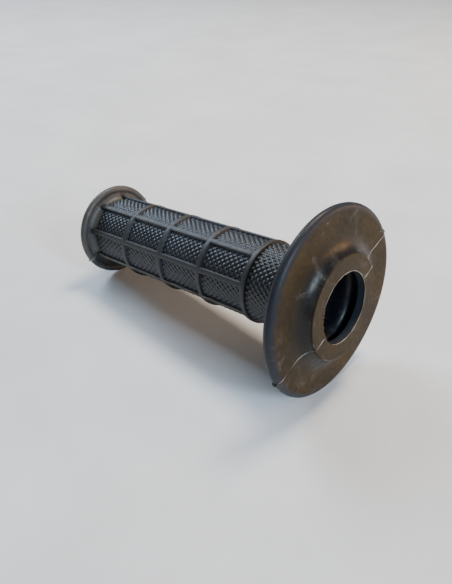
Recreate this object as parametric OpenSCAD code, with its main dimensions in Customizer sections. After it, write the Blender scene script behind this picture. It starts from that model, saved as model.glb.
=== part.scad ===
// Moulded rubber throttle grip with a round thumb flange.
// The grip's axis is X. The origin is the centre of the bore's mouth, and +X points out of the mouth.
// The real grip is one moulding: each node below is one region of it, and neighbours meet face to face.

/* [Bore] */
// Diameter of the bore that grips the throttle tube
bore_d = 24.4; // [22:0.1:26]
// Length of the lip between the mouth and the undercut groove
lip_len = 3; // [2:0.1:4]
// Width of the undercut groove behind the lip
groove_w = 2.6; // [2:0.1:4]
// Diameter at the bottom of the groove
groove_d = 28; // [27:0.1:30]
// Radius of the rounded step from the groove into the main bore
shoulder_r = 3; // [2:0.1:4]

/* [Body] */
// Overall length, from the mouth's face to the outer end
length = 119; // [110:1:130]
// Diameter of the sleeve under the knurl
sleeve_d = 27.8; // [27.2:0.1:28.4]
// Height of the knurl above the sleeve
knurl_h = 0.5; // [0.3:0.1:0.7]
// Width of a ring or a rib
band_w = 2.2; // [1.5:0.1:2.4]
// Height of a ring or a rib above the sleeve
band_h = 1.3; // [1.2:0.1:1.6]
// Distance from the mouth's face to the middle of the nearest ring
first_ring_x = 30.8; // [28:0.2:34]
// Distance between rings
ring_pitch = 21.2; // [19:0.1:22]
// Angle of the mould's parting plane above the horizontal plane
parting_angle = 25; // [0:1:44]

/* [Thumb flange] */
// Diameter of the flange over its rim
flange_d = 66; // [58:1:70]
// Thickness of the rounded rim
rim_t = 4; // [3:0.1:4.4]
// Distance from the mouth's face back to the middle of the rim
rim_x = 6.2; // [5.8:0.1:6.8]
// Diameter of the raised face round the mouth
boss_d = 35.4; // [34:0.1:38]
// Diameter where the hollow flare meets the flat of the flange
flare_d = 49; // [46:1:52]

/* [End collar] */
// Diameter of the collar over its bead
collar_d = 38.6; // [36:0.1:42]
// Thickness of the collar's rounded bead
collar_t = 3; // [2.6:0.1:3.4]

/* [Hidden] */

// Number of rings and of ribs
ring_count = 4;
rib_count = 8;
// Radii about the grip's axis
bore_r = bore_d / 2;
groove_r = groove_d / 2;
sleeve_r = sleeve_d / 2;
boss_r = boss_d / 2;
flare_r = flare_d / 2;
// Steps along the axis, all negative because the body runs back from the mouth
lip_back = -lip_len;
groove_back = lip_back - groove_w;
root_back = -11.6;
shoulder_rise = groove_r - bore_r;
shoulder_len = sqrt(shoulder_rise * (2 * shoulder_r - shoulder_rise));
collar_mid = -length + collar_t / 2;
// The rim is fully rounded and nearly flush with the flange's plate, which it joins along a cylinder
rim_r = rim_t / 2;
rim_mid_r = flange_d / 2 - rim_r;
rim_neck = 0.3 * rim_r;
plate_r = rim_mid_r - rim_neck;
plate_half = sqrt(rim_r * rim_r - rim_neck * rim_neck);
plate_root_t = 4;
flange_face = -rim_x + plate_half;
taper_share = (flare_r - boss_r) / (plate_r - boss_r);
flare_back = flange_face - plate_root_t + taper_share * (plate_root_t - 2 * plate_half);
// The collar's bead stands proud of its disc
bead_r = collar_t / 2;
bead_mid_r = collar_d / 2 - bead_r;
bead_neck = 0.8 * bead_r;
disc_r = bead_mid_r - bead_neck;
disc_half = sqrt(bead_r * bead_r - bead_neck * bead_neck);
disc_front = collar_mid + disc_half;
// Hollowed fillets: length along the radius, length along the axis, and radius of the arc
flare_arc = 7.6;
fillet_leg_r = 2.6;
fillet_leg_x = 2.6;
fillet_arc = 2.7;
fillet_front = disc_front + fillet_leg_x;
// Rings are counted from the outer end, as ribs are from the parting plane
ring_1_x = -first_ring_x - (ring_count - 1) * ring_pitch;
function ring_x(i) = ring_1_x + (i - 1) * ring_pitch;
function rib_angle(i) = parting_angle + (i - 1) * 360 / rib_count;
// Front and back of the stretch of body before ring i, between it and its neighbour
function bay_back(i) = i == 1 ? fillet_front : ring_x(i - 1) + band_w / 2;
function bay_front(i) = i > ring_count ? root_back : ring_x(i) - band_w / 2;
// Moulding flash left on the rim and on the collar at the parting plane
tab_len = 2.2;
tab_h = 0.8;
tab_t = 0.8;
// Colours of the rubber: cool black on the body, browner where it has bloomed
body_black = [0.09, 0.09, 0.10];
bloom_brown = [0.16, 0.13, 0.11];
smooth = 128;

// Turns a profile of [radius, position along the axis] about the X axis
module turned() {
    rotate([0, 90, 0]) rotate_extrude($fn = smooth) children();
}

// A plain tube about the X axis
module tube(inner, outer, back, front) {
    turned() translate([inner, back]) square([outer - inner, front - back]);
}

// Centre of the arc through two points of a profile, on the left of the way from a to b
function arc_centre(a, b, radius) =
    let (chord = b - a, reach = sqrt(radius * radius - chord * chord / 4) / norm(chord))
    (a + b) / 2 + reach * [-chord[1], chord[0]];

// Profile that is hollowed by an arc through the points a and b
module hollowed(a, b, radius) {
    difference() {
        children();
        translate(arc_centre(a, b, radius)) circle(radius, $fn = smooth);
    }
}

// Cross-section of a rib or ring, crowned on top, standing on a flat at radius sleeve_r
module crowned() {
    intersection() {
        translate([sleeve_r, 0]) circle(band_h, $fn = smooth);
        translate([sleeve_r, -band_w / 2]) square([band_h, band_w]);
    }
}

// A bar as wide as a rib and longer than the grip, at every rib angle
module rib_slots() {
    for (i = [1 : rib_count]) {
        rotate([rib_angle(i), 0, 0])
            translate([-length, 0, -band_w / 2]) cube([length, flange_d / 2, band_w]);
    }
}

module sleeve() {
    color(body_black) tube(bore_r, sleeve_r, disc_front, root_back);
}

module end_cap() {
    color(bloom_brown) tube(0, sleeve_r, -length, disc_front);
}

module end_collar() {
    color(bloom_brown) tube(sleeve_r, disc_r, collar_mid - disc_half, disc_front);
}

module end_collar_bead() {
    color(bloom_brown) turned() intersection() {
        translate([bead_mid_r, collar_mid]) circle(bead_r, $fn = smooth);
        translate([disc_r, -length]) square([collar_t, collar_t]);
    }
}

module collar_fillet() {
    top = [sleeve_r, fillet_front];
    foot = [sleeve_r + fillet_leg_r, disc_front];
    color(body_black) turned() hollowed(top, foot, fillet_arc) {
        polygon([top, foot, [sleeve_r, disc_front]]);
    }
}

// Flat plate between the flare and the rim, tapered on its back
module thumb_flange() {
    color(bloom_brown) turned() polygon([
        [flare_r, flange_face], [flare_r, flare_back], [plate_r, -rim_x - plate_half],
        [plate_r, flange_face]
    ]);
}

module flange_flare() {
    crest = [boss_r, 0];
    foot = [flare_r, flange_face];
    color(bloom_brown) turned() hollowed(crest, foot, flare_arc) {
        polygon([crest, [boss_r, flange_face - plate_root_t], [flare_r, flare_back], foot]);
    }
}

module flange_rim_bead() {
    color(bloom_brown) turned() intersection() {
        translate([rim_mid_r, -rim_x]) circle(rim_r, $fn = smooth);
        translate([plate_r, -rim_x - rim_r]) square([rim_t, rim_t]);
    }
}

// The flange's thick root, with a rounded step from the groove down to the bore
module flange_root() {
    step = flange_face - plate_root_t;
    step_corner = [bore_r, groove_back - shoulder_len];
    color(bloom_brown) turned() {
        difference() {
            translate([bore_r, root_back]) square([boss_r - bore_r, groove_back - root_back]);
            translate([boss_r, root_back]) circle(step - root_back, $fn = smooth);
            translate(step_corner) square([shoulder_rise, shoulder_len]);
        }
        intersection() {
            translate(step_corner) square([shoulder_rise, shoulder_len]);
            translate(step_corner + [shoulder_r, 0]) circle(shoulder_r, $fn = smooth);
        }
    }
}

module groove_wall() {
    color(bloom_brown) tube(groove_r, boss_r, groove_back, lip_back);
}

module mouth_lip() {
    color(bloom_brown) tube(bore_r, boss_r, lip_back, 0);
}

module grip_ring(i) {
    color(body_black) turned() translate([0, ring_x(i)]) crowned();
}

// One rib, in four lengths between the collar and the ring nearest the flange
module long_rib(i) {
    color(body_black) for (bay = [1 : ring_count]) {
        rotate([rib_angle(i), 0, 0]) translate([bay_back(bay), 0, 0])
            rotate([90, 0, 90]) linear_extrude(bay_front(bay) - bay_back(bay)) difference() {
                crowned();
                circle(sleeve_r, $fn = smooth);
            }
    }
}

// The knurl between two rings, parted by the ribs where they run
module knurl_zone(i) {
    color(body_black) difference() {
        tube(sleeve_r, sleeve_r + knurl_h, bay_back(i), bay_front(i));
        if (i <= ring_count) rib_slots();
    }
}

// One pair of opposite tabs on a bead, cut to the bead's own surface
module tab_pair(mid_r, mid_x, radius) {
    difference() {
        for (side = [0, 180]) {
            rotate([parting_angle + side, 0, 0])
                translate([mid_x - tab_len / 2, mid_r, -tab_t / 2])
                    cube([tab_len, radius + tab_h, tab_t]);
        }
        turned() translate([mid_r, mid_x]) circle(radius, $fn = smooth);
    }
}

module flash_tabs() {
    color(bloom_brown) {
        tab_pair(rim_mid_r, -rim_x, rim_r);
        tab_pair(bead_mid_r, collar_mid, bead_r);
    }
}

sleeve();
end_cap();
end_collar();
end_collar_bead();
collar_fillet();
thumb_flange();
flange_rim_bead();
flange_flare();
flange_root();
groove_wall();
mouth_lip();
for (i = [1 : ring_count]) {
    grip_ring(i);
}
for (i = [1 : rib_count]) {
    long_rib(i);
}
for (i = [1 : ring_count + 1]) {
    knurl_zone(i);
}
flash_tabs();
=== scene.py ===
import math

import bpy
import numpy as np
from mathutils import Matrix, Vector, noise


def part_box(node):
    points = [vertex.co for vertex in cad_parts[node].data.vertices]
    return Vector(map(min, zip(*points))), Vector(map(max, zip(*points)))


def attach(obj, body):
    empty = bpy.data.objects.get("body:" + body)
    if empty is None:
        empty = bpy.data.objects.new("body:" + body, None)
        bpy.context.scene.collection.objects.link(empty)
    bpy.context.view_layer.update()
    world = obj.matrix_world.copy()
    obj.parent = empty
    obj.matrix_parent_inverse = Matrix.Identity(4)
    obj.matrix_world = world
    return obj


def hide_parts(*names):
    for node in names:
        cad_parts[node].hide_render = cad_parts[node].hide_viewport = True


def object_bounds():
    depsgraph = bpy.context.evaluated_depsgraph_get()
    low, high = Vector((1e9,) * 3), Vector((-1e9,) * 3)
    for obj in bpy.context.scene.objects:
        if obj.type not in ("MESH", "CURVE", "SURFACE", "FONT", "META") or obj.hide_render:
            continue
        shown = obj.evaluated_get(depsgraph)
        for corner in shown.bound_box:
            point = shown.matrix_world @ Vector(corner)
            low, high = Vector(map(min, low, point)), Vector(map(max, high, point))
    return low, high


# A moulded rubber throttle grip. The axis is X and the mouth's face is at x = 0, with the body behind it.
# The gripping surface is one height field cut into closed blocks, and the rest are turned solids.

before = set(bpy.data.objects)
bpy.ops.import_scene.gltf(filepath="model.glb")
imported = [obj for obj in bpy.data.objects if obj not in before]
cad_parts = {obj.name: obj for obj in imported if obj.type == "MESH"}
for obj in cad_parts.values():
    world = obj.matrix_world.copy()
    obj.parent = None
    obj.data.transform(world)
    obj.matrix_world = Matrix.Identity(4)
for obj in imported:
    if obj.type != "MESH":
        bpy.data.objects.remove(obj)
cad_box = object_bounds()

# ---------------------------------------------------------------- sizes, in metres, from the frame

MM = 0.001


def reach(node):
    """Smallest and largest distance from the grip's axis to a node's points."""
    radii = [math.hypot(v.co.y, v.co.z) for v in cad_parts[node].data.vertices]
    return min(radii), max(radii)


def span(node):
    """Lowest and highest place of a node along the grip's axis."""
    low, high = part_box(node)
    return low.x, high.x


RINGS = [n for n in sorted(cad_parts) if n.startswith("grip_ring")]
RIBS = [n for n in sorted(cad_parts) if n.startswith("long_rib")]
KNURLS = [n for n in sorted(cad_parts) if n.startswith("knurl_zone")]

BORE_R, SLEEVE_R = reach("sleeve")
BAND_TOP = reach(RINGS[0])[1] - SLEEVE_R
RING_W = span(RINGS[0])[1] - span(RINGS[0])[0]
RING_X = [sum(span(n)) / 2 for n in RINGS]
DISC_BACK, DISC_FRONT = span("end_collar")
FILLET_FRONT = span("collar_fillet")[1]
FILLET_RISE = reach("collar_fillet")[1] - SLEEVE_R
BODY_FRONT = span("sleeve")[1]
BOSS_R = reach("mouth_lip")[1]
LIP_BACK = span("mouth_lip")[0]
GROOVE_R = reach("groove_wall")[0]
GROOVE_BACK = span("groove_wall")[0]
PLATE_IN_R, PLATE_OUT_R = reach("thumb_flange")
PLATE_FRONT = span("thumb_flange")[1]
ROOT_STEP = span("flange_flare")[0]
RIM_OUT_R = reach("flange_rim_bead")[1]
RIM_BACK, RIM_FRONT = span("flange_rim_bead")
BEAD_IN_R, BEAD_OUT_R = reach("end_collar_bead")
BEAD_BACK, BEAD_FRONT = span("end_collar_bead")
CAP_BACK, CAP_FRONT = span("end_cap")

# Angles about the axis are counted from +Y towards +Z. The first rib lies on the mould's parting plane.
RIB_STEP = 2 * math.pi / len(RIBS)
tabs_low, tabs_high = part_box("flash_tabs")
PARTING = math.atan2(tabs_high.z, tabs_high.y)
RIB_W = 2.1 * MM

# The soft flange has leaned forward by about this much
WARP = 1.0 * MM

# Knurl: diamonds this long along the axis, this many round the body, and this deep
DIAMOND_LEN = 2.44 * MM
DIAMONDS_ROUND = 43
KNURL_H = 0.55 * MM
KNURL_FLOOR = 0.06 * MM
# Share of a diamond's height where its worn top begins, and how steep the worn part still is
WORN_FROM, WORN_SLOPE = 0.84, 0.25
# The knurl fades in over this length at the collar's fillet
KNURL_FADE = 0.9 * MM
# Grid steps along and across each diamond
CELL_STEPS = 6
# Flash on the body's parting lines: height and width
SEAM = 0.13 * MM
# Unevenness of moulded rubber: along the axis, outwards, and twist in radians
DRIFT, SWELL, TWIST = 0.10 * MM, 0.07 * MM, 0.006
# Ribs rise a little where they meet the end collar
TIP_RISE = 0.45 * MM
TIP_LEN = 1.6 * MM

# ---------------------------------------------------------------- materials


def new_material(name):
    material = bpy.data.materials.new(name)
    material.use_nodes = True
    tree = material.node_tree
    return material, tree, tree.nodes["Principled BSDF"]


def add(tree, kind, **settings):
    """A new node. Inputs are given by name, with _ for a space, and other names are properties."""
    node = tree.nodes.new(kind)
    for key, value in settings.items():
        label = key.replace("_", " ")
        if label in node.inputs:
            node.inputs[label].default_value = value
        else:
            setattr(node, key, value)
    return node


def noise_at(tree, coords, size, detail=4.0, rough=0.55, warp=0.0):
    """Noise whose features are about size metres across."""
    node = add(tree, "ShaderNodeTexNoise", Scale=1 / size, Detail=detail, Roughness=rough, Distortion=warp)
    tree.links.new(coords, node.inputs["Vector"])
    return node.outputs["Fac"]


def ramp(tree, value, low, high, to_low=0.0, to_high=1.0):
    """value mapped smoothly from low..high to to_low..to_high, clamped."""
    node = add(tree, "ShaderNodeMapRange", interpolation_type="SMOOTHSTEP")
    tree.links.new(value, node.inputs["Value"])
    for socket, number in zip(("From Min", "From Max", "To Min", "To Max"), (low, high, to_low, to_high)):
        node.inputs[socket].default_value = number
    return node.outputs["Result"]


def maths(tree, operation, a, b):
    node = add(tree, "ShaderNodeMath", operation=operation)
    for socket, value in zip(node.inputs, (a, b)):
        if isinstance(value, (int, float)):
            socket.default_value = value
        else:
            tree.links.new(value, socket)
    return node.outputs["Value"]


def mixed(tree, share, a, b):
    """Colour a turning into colour b by share."""
    node = add(tree, "ShaderNodeMix", data_type="RGBA")
    tree.links.new(share, node.inputs["Factor"])
    for socket, value in zip((node.inputs[6], node.inputs[7]), (a, b)):
        if isinstance(value, tuple):
            socket.default_value = (*value, 1)
        else:
            tree.links.new(value, socket)
    return node.outputs[2]


def radius_from_axis(tree, coords):
    """Distance of the shaded point from the grip's axis."""
    flat = add(tree, "ShaderNodeVectorMath", operation="MULTIPLY")
    tree.links.new(coords, flat.inputs[0])
    flat.inputs[1].default_value = (0, 1, 1)
    length = add(tree, "ShaderNodeVectorMath", operation="LENGTH")
    tree.links.new(flat.outputs["Vector"], length.inputs[0])
    return length.outputs["Value"]


def place_along_axis(tree, coords):
    """Place of the shaded point along the grip's axis."""
    split = add(tree, "ShaderNodeSeparateXYZ")
    tree.links.new(coords, split.inputs["Vector"])
    return split.outputs["X"]


def bloomed(tree, coords, mottle, black, bloom, bloom_share):
    """The base colour: black under a patchy film of bloom, with darker mottles."""
    patches = noise_at(tree, coords, 14 * MM, detail=6, warp=0.6)
    film = ramp(tree, patches, 0.30, 0.72, *bloom_share)
    colour = mixed(tree, film, black, bloom)
    shade = ramp(tree, mottle, 0.25, 0.75, 0.0, 0.30)
    return mixed(tree, shade, colour, tuple(0.45 * c for c in black))


def zoned(tree, coords, colour, rough, zone, measure):
    """Colour and roughness with one zone laid over them. measure gives the distance a zone counts in."""
    start, full, zone_colour, change = zone
    share = ramp(tree, measure(tree, coords), start, full)
    broken = ramp(tree, noise_at(tree, coords, 0.8 * MM, detail=3), 0.30, 0.62, 0.75, 1.0)
    colour = mixed(tree, maths(tree, "MULTIPLY", share, broken), colour, zone_colour)
    return colour, maths(tree, "ADD", rough, maths(tree, "MULTIPLY", share, change))


def scuffs(tree, coords, dust):
    """Strength of the dusty smears left by handling."""
    smears = ramp(tree, noise_at(tree, coords, 9 * MM, detail=8, rough=0.7, warp=1.1), 0.52, 0.70)
    broken = ramp(tree, noise_at(tree, coords, 0.8 * MM, detail=5, rough=0.75), 0.36, 0.70, 0.15, 0.6)
    return maths(tree, "MULTIPLY", maths(tree, "MULTIPLY", smears, broken), dust)


def specks(tree, coords, dust):
    """Strength of the scattered pale specks."""
    cells = add(tree, "ShaderNodeTexVoronoi", Scale=1 / (3.2 * MM), Randomness=1.0)
    tree.links.new(coords, cells.inputs["Vector"])
    speck = ramp(tree, cells.outputs["Distance"], 0.035, 0.06, 1.0, 0.0)
    chosen = ramp(tree, noise_at(tree, coords, 6 * MM, detail=2), 0.56, 0.60)
    return maths(tree, "MULTIPLY", maths(tree, "MULTIPLY", speck, chosen), min(1.0, dust * 1.4))


def grained(tree, coords, shader):
    """Gives the shader a fine moulded grain over a slow unevenness."""
    fine = noise_at(tree, coords, 0.22 * MM, detail=3, rough=0.6)
    coarse = noise_at(tree, coords, 2.4 * MM, detail=3)
    relief = maths(tree, "ADD", fine, maths(tree, "MULTIPLY", coarse, 2.5))
    bump = add(tree, "ShaderNodeBump", Strength=0.6, Distance=0.012 * MM)
    tree.links.new(relief, bump.inputs["Height"])
    tree.links.new(bump.outputs["Normal"], shader.inputs["Normal"])


def rubber(name, black, bloom, bloom_share, dust, gloss, sheen=0.42, zones=(), depths=(),
           tint=(1.0, 1.0, 1.0)):
    """Moulded rubber with a bloom film, dusty scuffs and specks, and a fine grain.

    gloss is the range of roughness, sheen the strength of mirror light and tint its colour. Each zone
    is (radius where it starts, radius where it is full, colour, change of roughness), for rubbed tops,
    some also with a painted highlight, and for painted shade, some of it with painted cool light.
    depths are zones along the axis.
    """
    material, tree, shader = new_material(name)
    coords = add(tree, "ShaderNodeTexCoord").outputs["Object"]
    mottle = noise_at(tree, coords, 1.6 * MM, detail=5, rough=0.65)
    colour = bloomed(tree, coords, mottle, black, bloom, bloom_share)
    rough = ramp(tree, mottle, 0.2, 0.8, gloss[0], gloss[1])
    for zone in zones:
        colour, rough = zoned(tree, coords, colour, rough, zone, radius_from_axis)
    for zone in depths:
        colour, rough = zoned(tree, coords, colour, rough, zone, place_along_axis)

    scuff = scuffs(tree, coords, dust)
    colour = mixed(tree, scuff, colour, SCUFF_GREY)
    colour = mixed(tree, specks(tree, coords, dust), colour, SPECK_GREY)
    tree.links.new(colour, shader.inputs["Base Color"])
    rough = maths(tree, "ADD", rough, maths(tree, "MULTIPLY", scuff, 0.25))
    tree.links.new(rough, shader.inputs["Roughness"])
    shader.inputs["Specular IOR Level"].default_value = sheen
    shader.inputs["Specular Tint"].default_value = (*tint, 1)
    shader.inputs["IOR"].default_value = 1.52
    grained(tree, coords, shader)
    return material


SCUFF_GREY = (0.20, 0.18, 0.155)
SPECK_GREY = (0.42, 0.41, 0.39)
BLACK = (0.0070, 0.0082, 0.0110)
COOL = (0.019, 0.022, 0.030)
WARM_BLACK = (0.0130, 0.0086, 0.0042)
BROWN = (0.046, 0.0255, 0.0065)
DULL_BROWN = (0.105, 0.090, 0.070)
# Painted shade with painted cool light, for the inside of the mouth
MOUTH_SHADE_BLUE = (0.034, 0.043, 0.060)
WARM_SHEEN = (1.0, 0.93, 0.84)
# Painted shade: near-black for the cove round the raised face
COVE_SHADE_BLACK = (0.0115, 0.0105, 0.0115)
PALE = (0.46, 0.42, 0.36)
OLD_FLASH = (0.17, 0.15, 0.12)

# Zones, as rubber describes them
band_tops = (SLEEVE_R + 0.7 * BAND_TOP, SLEEVE_R + BAND_TOP, (0.030, 0.029, 0.029), 0.0)
# Knurl tops: lighter and bluer where rubbed, and partly a painted highlight that stands in for the glints on
# the diamonds' tips
rubbed_and_highlit_knurl_tops = (SLEEVE_R + 0.5 * KNURL_H, SLEEVE_R + KNURL_H, (0.058, 0.066, 0.086), -0.04)
# Cove round the raised face: painted shade, near-black where it is turned from the lamps; it is also glossier
shaded_cove = (PLATE_IN_R + 1.0 * MM, BOSS_R + 1.0 * MM, COVE_SHADE_BLACK, -0.26)
# Rim's outer edge: painted shade, a darker cool black where the rim's side is turned from the lamps; it is
# also glossier
shaded_rim_edge = (RIM_OUT_R - 2.8 * MM, RIM_OUT_R - 0.8 * MM, COOL, -0.12)
# Flash past the rim's edge, the torn tabs: painted shade, darkened to warm black
shaded_flash_past_rim = (RIM_OUT_R - 0.6 * MM, RIM_OUT_R, WARM_BLACK, 0.0)
# Inside the mouth: painted shade, with painted cool light on the lip's wall; it is also glossier
shaded_mouth_inside = (-0.3 * MM, -0.9 * MM, MOUTH_SHADE_BLUE, -0.20)
outer_end = (BEAD_BACK + 1.7 * MM, BEAD_BACK + 0.5 * MM, COOL, 0.0)
# Deeper in the bore, behind the lip: painted shade, plain black
shaded_bore_depth = (LIP_BACK, LIP_BACK - 0.6 * MM, BLACK, 0.0)

LOOKS = {
    "body_rubber": rubber("body_rubber", BLACK, COOL, (0.1, 0.7), 0.10, (0.34, 0.48)),
    "knurl_rubber": rubber(
        "knurl_rubber", BLACK, COOL, (0.0, 0.5), 0.10, (0.28, 0.40), zones=[rubbed_and_highlit_knurl_tops]),
    "band_rubber": rubber(
        "band_rubber", BLACK, COOL, (0.2, 0.9), 0.22, (0.42, 0.58), zones=[band_tops]),
    "collar_rubber": rubber(
        "collar_rubber", COOL, DULL_BROWN, (0.2, 0.9), 0.30, (0.40, 0.54), depths=[outer_end]),
    "flange_rubber": rubber(
        "flange_rubber", WARM_BLACK, BROWN, (0.3, 1.1), 0.75, (0.48, 0.62), 0.20,
        zones=[shaded_cove, shaded_rim_edge], tint=WARM_SHEEN),
    "mouth_rubber": rubber(
        "mouth_rubber", WARM_BLACK, BROWN, (0.4, 1.0), 0.40, (0.50, 0.62), 0.20,
        depths=[shaded_mouth_inside, shaded_bore_depth], tint=WARM_SHEEN),
    "flash_rubber": rubber(
        "flash_rubber", OLD_FLASH, PALE, (0.0, 1.0), 0.6, (0.50, 0.65), zones=[shaded_flash_past_rim]),
}

# ---------------------------------------------------------------- mesh helpers


def make_piece(name, points, faces, slot, nodes=(), smooth=None, crease=math.radians(38)):
    """Makes an object from points and faces, gives it a slot's finish, and stands it for CAD nodes.

    smooth is one flag per face; without it every face is smooth and edges over crease are sharp.
    """
    mesh = bpy.data.meshes.new(name)
    mesh.from_pydata(points, [], faces)
    mesh.validate()
    if smooth is None:
        mesh.polygons.foreach_set("use_smooth", [True] * len(mesh.polygons))
        mesh.set_sharp_from_angle(angle=crease)
    else:
        mesh.polygons.foreach_set("use_smooth", smooth)
    mesh.materials.append(LOOKS[slot])
    piece = bpy.data.objects.new(name, mesh)
    bpy.context.scene.collection.objects.link(piece)
    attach(piece, "root")
    if nodes:
        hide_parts(*nodes)
    return piece


def on_axis(x, radius, angle):
    return (x, radius * math.cos(angle), radius * math.sin(angle))


def arc(centre_x, centre_r, radius, start, end, steps):
    """Points (x, r) of an arc. Angles are in degrees, from +x towards larger r."""
    turns = [math.radians(start + (end - start) * i / steps) for i in range(steps + 1)]
    return [(centre_x + radius * math.cos(t), centre_r + radius * math.sin(t)) for t in turns]


def straight(a, b, steps):
    """Points from a to b, without b."""
    return [(a[0] + (b[0] - a[0]) * i / steps, a[1] + (b[1] - a[1]) * i / steps) for i in range(steps)]


def warp(radius, angle):
    """How far the soft flange leans forward: most at the parting line, growing towards the rim."""
    grow = min(1.1, max(0.0, (radius - BOSS_R) / (RIM_OUT_R - BOSS_R)))
    off = angle - PARTING + math.radians(5)
    wave = 0.55 + 0.65 * math.cos(off) + 0.6 * math.cos(2 * off)
    return WARP * grow * wave


def flange_point(x, radius, angle):
    return on_axis(x + warp(radius, angle), radius, angle)


def lathe(name, outline, slot, nodes=(), around=192, warped=False):
    """A closed solid of revolution from a closed outline of (x, r). Points at r = 0 become poles."""
    points, rows = [], []
    for x, radius in outline:
        if radius <= 0:
            rows.append([len(points)] * around)
            points.append((x, 0, 0))
            continue
        rows.append(list(range(len(points), len(points) + around)))
        for j in range(around):
            angle = 2 * math.pi * j / around
            points.append(flange_point(x, radius, angle) if warped else on_axis(x, radius, angle))
    faces = []
    for a, b in zip(rows, rows[1:] + rows[:1]):
        for j in range(around):
            k = (j + 1) % around
            face = [a[j], b[j], b[k], a[k]]
            face = [v for i, v in enumerate(face) if v not in face[:i]]
            if len(face) > 2:
                faces.append(face)
    return make_piece(name, points, faces, slot, nodes)


# ---------------------------------------------------------------- the gripping surface

# Section across a ring or rib: places in half-widths from its middle, and heights as a share of its own
BAND_PLACES = [0, 0.35, 0.62, 0.80, 0.91, 0.98, 1.04, 1.12, 1.24]
BAND_HEIGHTS = [1.0, 0.995, 0.975, 0.93, 0.84, 0.66, 0.34, 0.12, 0.0]
FOOT = BAND_PLACES[-1]
# Half-widths about a ring or rib that are free of other grid lines
CLEARANCE = FOOT + 0.05
# How far the skin's ends run into their neighbours, so that no gap shows
TUCK = 0.15 * MM
# Extra places across a rib that carries a parting line
FLASH_PLACES = [0.04, 0.09, 0.14]


def band(distance, half):
    """Height of a ring or rib, as a share of its full height, at a distance from its middle."""
    return np.interp(np.abs(distance) / half, BAND_PLACES, BAND_HEIGHTS)


def merged(regular, special, keep_clear):
    """Regular places that aren't within keep_clear of any special group, joined with the groups."""
    clear = [p for p in regular if all(abs(p - middle) > gap for middle, gap in keep_clear)]
    return np.array(sorted(set(clear) | set(special)))


def band_places(middle, half, extra=()):
    sides = sorted(set(BAND_PLACES) | set(extra))
    return [middle + side * half * s for s in sides for side in (1, -1)]


def wrapped(values, period):
    return values - period * np.round(values / period)


def fillet_radius(x):
    """Radius of the smooth base: the sleeve, rising in a hollow curve to the end collar."""
    share = np.clip((FILLET_FRONT - x) / (FILLET_FRONT - DISC_FRONT), 0, 1)
    return SLEEVE_R + FILLET_RISE * (1 - np.sqrt(1 - share ** 2))


def diamonds(x, turn):
    """Height of the knurl: four-sided points with slightly worn tops."""
    along = x / DIAMOND_LEN
    across = turn * DIAMONDS_ROUND / (2 * math.pi)
    a = np.abs(wrapped(along + across, 1.0)) * 2
    b = np.abs(wrapped(along - across, 1.0)) * 2
    point = 1 - np.maximum(a, b)
    rounded = np.minimum(point, WORN_FROM + WORN_SLOPE * (point - WORN_FROM))
    fade = np.clip((x - FILLET_FRONT) / KNURL_FADE, 0, 1)
    return KNURL_FLOOR + KNURL_H * rounded * fade


def surface(x, turn):
    """Radius of the gripping surface, for arrays of places along the axis and angles about it."""
    rib_turn = wrapped(turn - PARTING, RIB_STEP)
    rib = band(rib_turn * SLEEVE_R, RIB_W / 2)
    rib = np.where(x > RING_X[-1], 0, rib)
    ring = np.max([band(x - middle, RING_W / 2) for middle in RING_X], axis=0)
    seam = np.abs(wrapped(turn - PARTING, math.pi)) * SLEEVE_R
    flash = SEAM * np.exp(-(seam / SEAM) ** 2) * (x < RING_X[-1])
    tip = TIP_RISE * np.clip((DISC_FRONT + TIP_LEN - x) / TIP_LEN, 0, 1) ** 2
    bands = np.maximum(rib * (BAND_TOP + tip), ring * BAND_TOP) + flash
    base = fillet_radius(x) + diamonds(x, turn)
    return np.maximum(base, np.where(bands > flash, SLEEVE_R + bands, 0))


def axis_places():
    """Rows of the grid: knurl steps, the collar's fillet, tucked ends, and lines that follow each ring."""
    step = DIAMOND_LEN / CELL_STEPS
    first = math.ceil(FILLET_FRONT / step)
    places = [step * i for i in range(first, 0) if step * i < BODY_FRONT]
    sweep = np.sin(np.linspace(0, math.pi / 2, 16))
    places += list(FILLET_FRONT - (FILLET_FRONT - DISC_FRONT) * sweep)
    places += [DISC_FRONT - TUCK, BODY_FRONT + TUCK]
    half = RING_W / 2
    on_rings = [p for middle in RING_X for p in band_places(middle, half)]
    return merged(places, on_rings, [(middle, CLEARANCE * half) for middle in RING_X])


def angles_round():
    """Columns of the grid: knurl steps, and lines that follow each rib and each parting line."""
    count = DIAMONDS_ROUND * CELL_STEPS
    places = [2 * math.pi / count * j for j in range(count)]
    half = RIB_W / 2 / SLEEVE_R
    middles = [PARTING + RIB_STEP * i for i in range(len(RIBS))]
    on_ribs = []
    for i, middle in enumerate(middles):
        on_seam = i % (len(RIBS) // 2) == 0
        on_ribs += band_places(middle, half, FLASH_PLACES if on_seam else ())
    clear = [(middle + 2 * math.pi * lap, CLEARANCE * half) for middle in middles for lap in (-1, 0)]
    return merged(places, [t % (2 * math.pi) for t in on_ribs], clear)


def wander(x, radius, turn):
    """A grid point with the small unevenness of moulded and handled rubber."""
    drift = noise.noise(Vector((x * 55, math.cos(turn) * 1.6, math.sin(turn) * 1.6)))
    swell = noise.noise(Vector((x * 40 + 9, math.cos(turn) * 1.3, math.sin(turn) * 1.3)))
    return on_axis(x + DRIFT * drift, radius + SWELL * swell, turn + TWIST * drift)


rows, turns = axis_places(), angles_round()
radii = surface(*np.meshgrid(rows, turns, indexing="ij"))
# Radius of the inner face of the skin's blocks
FLOOR_R = SLEEVE_R - 0.35 * MM
grid = [[wander(x, radii[i][j], t) for j, t in enumerate(turns)] for i, x in enumerate(rows)]
floor_grid = [[wander(x, FLOOR_R, t) for t in turns] for x in rows]


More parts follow.
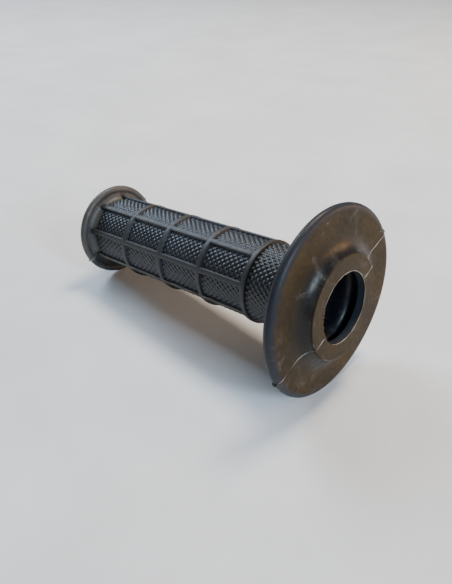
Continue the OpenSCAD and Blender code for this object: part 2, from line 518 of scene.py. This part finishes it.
def flips():
    """True for each grid cell that folds along its other diagonal, so that valleys stay straight."""
    x = (rows[:-1] + rows[1:]) / 2
    lap = np.append(turns, turns[0] + 2 * math.pi)
    t = (lap[:-1] + lap[1:]) / 2
    centre = surface(*np.meshgrid(x, t, indexing="ij"))
    wide = np.hstack([radii, radii[:, :1]])
    main = (wide[:-1, :-1] + wide[1:, 1:]) / 2
    other = (wide[:-1, 1:] + wide[1:, :-1]) / 2
    return np.abs(other - centre) < np.abs(main - centre)


flip = flips()


def ring_walls(outer, inner, first, last, columns):
    """Two end walls and the inner face of a block that runs all the way round."""
    walls = []
    for j, k in zip(columns, columns[1:]):
        walls.append((outer[first, k], outer[first, j], inner[first, j], inner[first, k]))
        walls.append((outer[last, j], outer[last, k], inner[last, k], inner[last, j]))
        walls.append((inner[first, j], inner[last, j], inner[last, k], inner[first, k]))
    return walls


def strip_walls(outer, inner, first, last, columns):
    """Two side walls, the inner face and two ends of a block between two columns."""
    walls = []
    left, right = columns[0], columns[-1]
    for i in range(first, last):
        walls.append((outer[i, left], outer[i + 1, left], inner[i + 1, left], inner[i, left]))
        walls.append((outer[i + 1, right], outer[i, right], inner[i, right], inner[i + 1, right]))
        walls.append((inner[i, left], inner[i + 1, left], inner[i + 1, right], inner[i, right]))
    walls.append([outer[first, j] for j in reversed(columns)] + [inner[first, left], inner[first, right]])
    walls.append([outer[last, j] for j in columns] + [inner[last, right], inner[last, left]])
    return walls


def patch(points, faces, smooth, row_range, columns):
    """Adds a closed block of the grid: its outer surface, side walls and a plain inner face.

    row_range is (first, last) and columns is a list of column numbers; a closed ring repeats the first.
    """
    first, last = row_range
    lap = columns[0] == columns[-1]
    keep = columns[:-1] if lap else columns
    outer, inner = {}, {}
    for i in range(first, last + 1):
        for j in keep:
            outer[i, j] = len(points)
            points.append(grid[i][j])
            if i in (first, last) if lap else j in (keep[0], keep[-1]):
                inner[i, j] = len(points)
                points.append(floor_grid[i][j])
    for i in range(first, last):
        for j, k in zip(columns, columns[1:]):
            a, b, c, d = outer[i, j], outer[i, k], outer[i + 1, k], outer[i + 1, j]
            faces += [(a, b, d), (b, c, d)] if flip[i][j] else [(a, b, c), (a, c, d)]
            smooth += [True, True]
    walls = (ring_walls if lap else strip_walls)(outer, inner, first, last, columns)
    faces += walls
    smooth += [False] * len(walls)


def row_at(x):
    return int(np.argmin(np.abs(rows - x)))


def column_at(turn):
    return int(np.argmin(np.abs(wrapped(turns - turn, 2 * math.pi))))


def columns_between(start, end):
    """Column numbers from angle start on to angle end, past the turn's end where needed."""
    first, last = column_at(start), column_at(end)
    if last <= first:
        last += len(turns)
    return [j % len(turns) for j in range(first, last + 1)]


RING_ROWS = [(row_at(x - FOOT * RING_W / 2), row_at(x + FOOT * RING_W / 2)) for x in RING_X]
RIB_FOOT = FOOT * RIB_W / 2 / SLEEVE_R
ALL_ROUND = list(range(len(turns))) + [0]
FILLET_ROW = row_at(FILLET_FRONT)
BAYS = list(zip([0] + [last for _, last in RING_ROWS], [first for first, _ in RING_ROWS] + [len(rows) - 1]))


def grip_rings():
    for number, node in enumerate(RINGS):
        points, faces, smooth = [], [], []
        patch(points, faces, smooth, RING_ROWS[number], ALL_ROUND)
        make_piece(f"raised_ring_{number + 1}", points, faces, "band_rubber", [node], smooth)


def long_ribs():
    for number, node in enumerate(RIBS):
        points, faces, smooth = [], [], []
        middle = PARTING + RIB_STEP * number
        columns = columns_between(middle - RIB_FOOT, middle + RIB_FOOT)
        for bay in BAYS[:-1]:
            patch(points, faces, smooth, bay, columns)
        make_piece(f"raised_rib_{number + 1}", points, faces, "band_rubber", [node], smooth)


def panels(bay):
    """Closed blocks of one bay, between the ribs."""
    points, faces, smooth = [], [], []
    for number in range(len(RIBS)):
        middle = PARTING + RIB_STEP * number
        patch(points, faces, smooth, bay, columns_between(middle + RIB_FOOT, middle + RIB_STEP - RIB_FOOT))
    return points, faces, smooth


def knurled_skin():
    for number, node in enumerate(KNURLS):
        first, last = BAYS[number]
        name = f"knurled_skin_{number + 1}"
        if node == KNURLS[-1]:
            points, faces, smooth = [], [], []
            patch(points, faces, smooth, (first, last), ALL_ROUND)
        else:
            points, faces, smooth = panels((max(first, FILLET_ROW), last))
        make_piece(name, points, faces, "knurl_rubber", [node], smooth)
    points, faces, smooth = panels((0, FILLET_ROW))
    make_piece("collar_cove", points, faces, "collar_rubber", ["collar_fillet"], smooth)


# ---------------------------------------------------------------- the plain turned parts

RIM_RADIUS = (RIM_FRONT - RIM_BACK) / 2
RIM_X = (RIM_FRONT + RIM_BACK) / 2
RIM_MID_R = RIM_OUT_R - RIM_RADIUS
PLATE_HALF = PLATE_FRONT - RIM_X
PLATE_BACK = RIM_X - PLATE_HALF
PLATE_ROOT_BACK = span("thumb_flange")[0]
BEAD_RADIUS = (BEAD_FRONT - BEAD_BACK) / 2
BEAD_X = (BEAD_FRONT + BEAD_BACK) / 2
BEAD_MID_R = BEAD_OUT_R - BEAD_RADIUS
# Radius that rounds the plain parts' edges, and the place of the mouth's slightly worn face
EDGE = 0.35 * MM
MOUTH_FACE = -0.05 * MM
# Outside of the sleeve, which the skin's blocks stand in
TUBE_OUT_R = FLOOR_R + 0.1 * MM
# Radius of the rounded step from the groove into the bore
STEP_R = 3 * MM


def flare_curve(steps=20):
    """The hollow arc from the raised face's edge down to the flat of the flange, which it runs into."""
    drop, out = -PLATE_FRONT - EDGE, PLATE_IN_R - BOSS_R
    radius = (drop ** 2 + out ** 2) / (2 * drop)
    turn = math.degrees(math.asin(out / radius))
    return arc(PLATE_FRONT + radius, PLATE_IN_R, radius, 180 + turn, 180, steps)


def sleeve_tube():
    outline = [(DISC_FRONT, BORE_R), (BODY_FRONT, BORE_R), (BODY_FRONT, TUBE_OUT_R), (DISC_FRONT, TUBE_OUT_R)]
    stretches = []
    for a, b in zip(outline, outline[1:] + outline[:1]):
        stretches += straight(a, b, 16 if a[1] == b[1] else 1)
    lathe("inner_sleeve", stretches, "body_rubber", ["sleeve"])


def rim_curve(start, end, steps):
    """The rim's rounded edge, from angle start to end in degrees. It leaves the plate without a crease."""
    curve = []
    for i in range(steps + 1):
        turn = math.radians(start + (end - start) * i / steps)
        out = (RIM_OUT_R - PLATE_OUT_R) * math.sin(turn)
        curve.append((RIM_X + PLATE_HALF * math.cos(turn), PLATE_OUT_R + out))
    return curve


def rim():
    outline = rim_curve(0, 180, 36)
    outline += straight((PLATE_BACK, PLATE_OUT_R), (PLATE_FRONT, PLATE_OUT_R), 3)[1:]
    lathe("flange_rim", outline, "flange_rubber", ["flange_rim_bead"], around=256, warped=True)


def plate():
    corners = [(PLATE_FRONT, PLATE_IN_R), (PLATE_FRONT, PLATE_OUT_R), (PLATE_BACK, PLATE_OUT_R),
               (PLATE_ROOT_BACK, PLATE_IN_R)]
    outline = []
    for a, b, steps in zip(corners, corners[1:], (6, 2, 6)):
        outline += straight(a, b, steps)
    outline.append(corners[-1])
    lathe("flange_plate", outline, "flange_rubber", ["thumb_flange"], around=256, warped=True)


def flare():
    foot = (PLATE_ROOT_BACK, PLATE_IN_R)
    outline = flare_curve() + straight(foot, (ROOT_STEP, BOSS_R), 4) + [(ROOT_STEP, BOSS_R)]
    lathe("flange_cove", outline, "flange_rubber", ["flange_flare"], around=256, warped=True)


def mouth():
    outline = [(LIP_BACK, BORE_R + EDGE)] + arc(LIP_BACK + EDGE, BORE_R + EDGE, EDGE, 180, 270, 5)[1:]
    outline += straight((LIP_BACK + EDGE, BORE_R), (-EDGE, BORE_R), 4)[1:]
    outline += arc(-EDGE, BORE_R + EDGE, EDGE, -90, 0, 6)
    outline += [(MOUTH_FACE, BORE_R + 2 * EDGE)]
    outline += straight((MOUTH_FACE, BORE_R + 2 * EDGE), (MOUTH_FACE, BOSS_R - 2 * EDGE), 5)[1:]
    outline += [(MOUTH_FACE, BOSS_R - 2 * EDGE)] + arc(-EDGE, BOSS_R - EDGE * 0.4, EDGE, 0, 90, 6)
    outline += [(LIP_BACK, BOSS_R)]
    lathe("mouth_ring", outline, "mouth_rubber", ["mouth_lip"], around=256)


def groove():
    outline = [(LIP_BACK, GROOVE_R), (LIP_BACK, BOSS_R), (GROOVE_BACK, BOSS_R), (GROOVE_BACK, GROOVE_R)]
    outline += straight((GROOVE_BACK, GROOVE_R), (LIP_BACK, GROOVE_R), 3)[1:]
    lathe("groove_ring", outline, "mouth_rubber", ["groove_wall"])


def root():
    turn = math.degrees(math.acos(1 - (GROOVE_R - BORE_R) / STEP_R))
    step_x = GROOVE_BACK - STEP_R * math.sin(math.radians(turn))
    fillet = ROOT_STEP - BODY_FRONT
    outline = [(GROOVE_BACK, BOSS_R)] + arc(step_x, BORE_R + STEP_R, STEP_R, turn - 90, -90, 14)
    outline += straight((step_x, BORE_R), (BODY_FRONT, BORE_R), 3)[1:] + [(BODY_FRONT, BORE_R)]
    outline += arc(BODY_FRONT, BOSS_R, fillet, 270, 360, 12)
    lathe("flange_neck", outline[::-1], "mouth_rubber", ["flange_root"])


def collar():
    half = math.degrees(math.asin((DISC_FRONT - BEAD_X) / BEAD_RADIUS))
    outline = arc(BEAD_X, BEAD_MID_R, BEAD_RADIUS, -90 + half, 270 - half, 36)
    lathe("collar_bead", outline, "collar_rubber", ["end_collar_bead"])
    outline = [(DISC_FRONT, SLEEVE_R), (DISC_FRONT, BEAD_IN_R), (DISC_BACK, BEAD_IN_R), (DISC_BACK, SLEEVE_R)]
    lathe("collar_disc", outline, "collar_rubber", ["end_collar"])


def cap():
    dome = [(CAP_FRONT, 0), (CAP_FRONT, SLEEVE_R), (CAP_BACK + EDGE, SLEEVE_R)]
    dome += arc(CAP_BACK + EDGE, SLEEVE_R - EDGE, EDGE, 90, 180, 5)[1:]
    dome += straight((CAP_BACK, SLEEVE_R - EDGE), (CAP_BACK, 0), 10)[1:] + [(CAP_BACK, 0)]
    lathe("closed_end", dome, "collar_rubber", ["end_cap"])


# ---------------------------------------------------------------- moulding flash

# Section across a ridge: places as a share of its width, and heights as a share of its own
RIDGE_SECTION = [(-0.5, -0.5), (-0.32, 0.55), (0, 1.0), (0.32, 0.55), (0.5, -0.5)]


def ridge(name, spine, width, height):
    """A thin raised line of flash that tapers at its ends. spine is a list of (point, way up)."""
    points, faces = [], []
    count, size = len(spine), len(RIDGE_SECTION)
    for i, (here, up) in enumerate(spine):
        before, after = spine[max(i - 1, 0)][0], spine[min(i + 1, count - 1)][0]
        across = (after - before).normalized().cross(up)
        taper = min(1.0, 0.3 + min(i, count - 1 - i) / 4)
        uneven = taper * max(0.25, 0.9 + 1.3 * noise.noise(here * 300))
        sway = across * 0.25 * width * noise.noise(here * 260 + Vector((5, 5, 5)))
        for side, rise in RIDGE_SECTION:
            points.append(here + sway + across * side * width * uneven + up * rise * height * uneven)
    for i in range(count - 1):
        a, b = i * size, (i + 1) * size
        for j in range(size):
            k = (j + 1) % size
            faces.append((a + k, b + k, b + j, a + j))
    faces.append(tuple(range(size))[::-1])
    faces.append(tuple(range(len(points) - size, len(points))))
    return make_piece(name, points, faces, "flash_rubber")


def along_section(path, turn, place=on_axis):
    """A spine along an outline of (x, r), at an angle that strays a little."""
    spine = []
    for i, (x, radius) in enumerate(path):
        before, after = path[max(i - 1, 0)], path[min(i + 1, len(path) - 1)]
        along = Vector((after[0] - before[0], after[1] - before[1])).normalized()
        angle = turn + 0.022 * noise.noise(Vector((radius * 170, x * 170, turn)))
        spine.append((Vector(place(x, radius, angle)), Vector(on_axis(along.y, -along.x, angle))))
    return spine


def flange_front_path():
    """Outline of the front from the mouth's edge over the raised face, the flare, the plate and the rim."""
    path = straight((MOUTH_FACE, BORE_R + EDGE), (MOUTH_FACE, BOSS_R - EDGE), 12)
    path += arc(-EDGE, BOSS_R - EDGE * 0.4, EDGE, 30, 80, 3)
    path += flare_curve(16)[1:]
    path += straight((PLATE_FRONT, PLATE_IN_R), (PLATE_FRONT, PLATE_OUT_R), 10)[1:]
    path += rim_curve(0, 60, 8)
    return path


def around_axis(x, radius, start, end, up, steps):
    """A spine round the axis from angle start to end. up is (share along the axis, share outwards)."""
    spine = []
    for i in range(steps):
        angle = start + (end - start) * i / steps
        lean = Vector(on_axis(up[0], up[1], angle)).normalized()
        spine.append((Vector(on_axis(x, radius, angle)), lean))
    return spine


def collar_path():
    """Outline of the cove and the collar's bead, from the start of a rib to the back of the bead."""
    sweep = [math.sin(math.radians(a)) for a in (62, 70, 78, 86)]
    cove = [FILLET_FRONT - (FILLET_FRONT - DISC_FRONT) * share for share in sweep]
    bead = arc(BEAD_X, BEAD_MID_R, BEAD_RADIUS, -50, 200, 20)
    return [(x, float(fillet_radius(x))) for x in cove] + bead


def flash_lines():
    rib_crest = straight((RING_X[-1], SLEEVE_R + BAND_TOP), (DISC_FRONT + 0.4 * MM, SLEEVE_R + BAND_TOP), 90)
    rib_side = 0.36 * RIB_W / SLEEVE_R
    for number, turn in enumerate((PARTING, PARTING + math.pi), start=1):
        front = along_section(flange_front_path(), turn, flange_point)
        ridge(f"flange_parting_line_{number}", front, 0.30 * MM, 0.15 * MM)
        ridge(f"collar_parting_line_{number}", along_section(collar_path(), turn), 0.28 * MM, 0.13 * MM)
        ridge(f"rib_parting_line_{number}", along_section(rib_crest, turn - rib_side), 0.20 * MM, 0.13 * MM)
    start, end = PARTING - math.radians(150), PARTING + math.radians(124)
    mouth_edge = around_axis(MOUTH_FACE, BORE_R + 0.12 * MM, start, end, (1, -0.7), 200)
    ridge("mouth_edge_flash", mouth_edge, 0.22 * MM, 0.12 * MM)
    start, end = PARTING + math.radians(150), PARTING + math.radians(265)
    face_edge = around_axis(-0.6 * EDGE, BOSS_R + 0.02 * MM, start, end, (1, 1), 120)
    ridge("raised_face_edge_flash", face_edge, 0.26 * MM, 0.13 * MM)


def torn_lip(reach_in=0.85 * MM, hold=0.2 * MM):
    """A ragged film of rubber left inside the mouth's edge where the moulding was trimmed.

    reach_in is how far its edge reaches into the bore at most, about, and hold how far it is rooted
    in the lip.
    """
    points, faces = [], []
    start, end = PARTING + math.radians(118), PARTING + math.radians(196)
    steps = 90
    for i in range(steps + 1):
        angle = start + (end - start) * i / steps
        fade = min(1.0, 6 * min(i, steps - i) / steps)
        long_wave = 0.6 * noise.noise(Vector((i * 0.11, 4, 0)))
        short_wave = 0.9 * noise.noise(Vector((i * 0.37, 9, 0)))
        inner = BORE_R - reach_in * fade * max(0.1, 0.55 + long_wave + short_wave)
        for x, radius in ((-0.1 * MM, BORE_R + hold), (-0.16 * MM, inner), (-0.32 * MM, inner),
                          (-0.5 * MM, BORE_R + hold)):
            points.append(on_axis(x, radius, angle))
    for i in range(steps):
        a, b = 4 * i, 4 * (i + 1)
        faces += [(a + j, b + j, b + (j + 1) % 4, a + (j + 1) % 4) for j in range(4)]
    faces += [(0, 1, 2, 3), (4 * steps + 3, 4 * steps + 2, 4 * steps + 1, 4 * steps)]
    make_piece("torn_mouth_film", points, faces, "mouth_rubber")


# Half the thickness of a flash tab, in millimetres, where it is rooted in the bead and at its edge
TAB_ROOT, TAB_EDGE = 0.42, 0.16


def flash_tab_pair(bead_x, bead_mid_r, bead_radius, length, stand, place):
    """Two small torn tabs of flash on opposite sides of a bead, as points and faces."""
    points, faces = [], []
    for side in (0, math.pi):
        turn = PARTING + side
        start = len(points)
        steps = 10
        for i in range(steps + 1):
            share = i / steps - 0.5
            lift = stand * math.cos(share * math.pi) ** 0.6 * (0.8 + 0.3 * noise.noise(Vector((i, turn, 0))))
            for radius, half in ((bead_mid_r, TAB_ROOT), (bead_mid_r + bead_radius + lift, TAB_EDGE)):
                for way in (-1, 1):
                    offset = way * half * MM / radius
                    points.append(place(bead_x + share * length, radius, turn + offset))
        for i in range(steps):
            a, b = start + 4 * i, start + 4 * (i + 1)
            for j, k in ((0, 1), (1, 3), (3, 2), (2, 0)):
                faces.append((a + k, a + j, b + j, b + k))
        end = start + 4 * steps
        faces += [(start, start + 1, start + 3, start + 2), (end, end + 2, end + 3, end + 1)]
    return points, faces


def flash_tabs():
    points, faces = flash_tab_pair(RIM_X, RIM_MID_R, RIM_RADIUS, 2.2 * MM, 0.8 * MM, flange_point)
    more, more_faces = flash_tab_pair(BEAD_X, BEAD_MID_R, BEAD_RADIUS, 1.8 * MM, 0.6 * MM, on_axis)
    faces += [tuple(v + len(points) for v in face) for face in more_faces]
    make_piece("torn_flash_tabs", points + more, faces, "flash_rubber", ["flash_tabs"])


grip_rings()
long_ribs()
knurled_skin()
sleeve_tube()
rim()
plate()
flare()
mouth()
groove()
root()
collar()
cap()
flash_lines()
torn_lip()
flash_tabs()

# ---------------------------------------------------------------- floor, camera and light


def floor_under():
    """The floor that the grip lies on: it touches the flange's rim and the collar's bead from below."""
    drop = RIM_MID_R - BEAD_MID_R
    run = RIM_X - BEAD_X
    tilt = math.atan2(drop, run) + math.asin((RIM_RADIUS - BEAD_RADIUS) / math.hypot(drop, run))
    up = Vector((math.sin(tilt), 0, math.cos(tilt)))
    touch = Vector((RIM_X, 0, -RIM_MID_R)) - up * RIM_RADIUS
    return up, touch


def make_floor(up, touch):
    size = 6.0
    mesh = bpy.data.meshes.new("floor")
    side = Vector((0, 1, 0))
    along = side.cross(up)
    corners = [touch + along * a * size + side * b * size for a, b in ((-1, -1), (1, -1), (1, 1), (-1, 1))]
    mesh.from_pydata(corners, [], [(0, 1, 2, 3)])
    floor = bpy.data.objects.new("floor", mesh)
    bpy.context.scene.collection.objects.link(floor)
    material, tree, shader = new_material("pale_floor")
    coords = add(tree, "ShaderNodeTexCoord").outputs["Object"]
    cloud = ramp(tree, noise_at(tree, coords, 60 * MM, detail=8, rough=0.65), 0.3, 0.7)
    colour = mixed(tree, cloud, (0.70, 0.695, 0.69), (0.78, 0.775, 0.77))
    tree.links.new(colour, shader.inputs["Base Color"])
    shader.inputs["Roughness"].default_value = 0.75
    mesh.materials.append(material)


def make_camera(up):
    camera_data = bpy.data.cameras.new("camera")
    camera_data.sensor_width = 36
    camera_data.lens = 34.7
    camera_data.clip_start = 0.01
    camera = bpy.data.objects.new("camera", camera_data)
    bpy.context.scene.collection.objects.link(camera)
    stand = Vector((81.6, -131.7, 97.9)) * MM
    target = Vector((-53.1, 0, -11.6)) * MM
    ahead = (target - stand).normalized()
    right = ahead.cross(up).normalized()
    camera.matrix_world = Matrix.Translation(stand) @ Matrix(
        (right, right.cross(ahead), -ahead)
    ).transposed().to_4x4()
    bpy.context.scene.camera = camera


def area_light(name, way, distance, size, power, colour):
    """A soft rectangular light that faces the grip's middle from a direction."""
    middle = (cad_box[0] + cad_box[1]) / 2
    data = bpy.data.lights.new(name, "AREA")
    data.shape = "RECTANGLE"
    data.size, data.size_y = size
    data.energy = power
    data.color = colour
    light = bpy.data.objects.new(name, data)
    bpy.context.scene.collection.objects.link(light)
    light.location = middle + Vector(way) * distance
    light.rotation_euler = (middle - light.location).to_track_quat("-Z", "Y").to_euler()


def make_lights():
    area_light("sky", (-0.62, 0.10, 0.78), 1.2, (0.6, 0.6), 12.5, (0.68, 0.82, 1.0))
    area_light("lamp", (0.10, 0.43, 0.90), 1.2, (0.3, 0.3), 14, (1.0, 0.88, 0.74))
    area_light("window", (0.91, -0.10, 0.40), 1.2, (0.24, 0.34), 11, (0.58, 0.78, 1.0))
    area_light("fill", (0.72, -0.62, 0.32), 1.2, (0.6, 0.4), 1.2, (0.60, 0.80, 1.0))
    area_light("bounce", (0.65, 0.68, 0.20), 0.9, (0.5, 0.3), 3.2, (1.0, 0.64, 0.34))
    world = bpy.data.worlds.new("studio")
    world.use_nodes = True
    background = world.node_tree.nodes["Background"]
    background.inputs["Color"].default_value = (0.93, 0.96, 1.0, 1)
    background.inputs["Strength"].default_value = 0.17
    bpy.context.scene.world = world


up, touch = floor_under()
make_floor(up, touch)
make_camera(up)
make_lights()
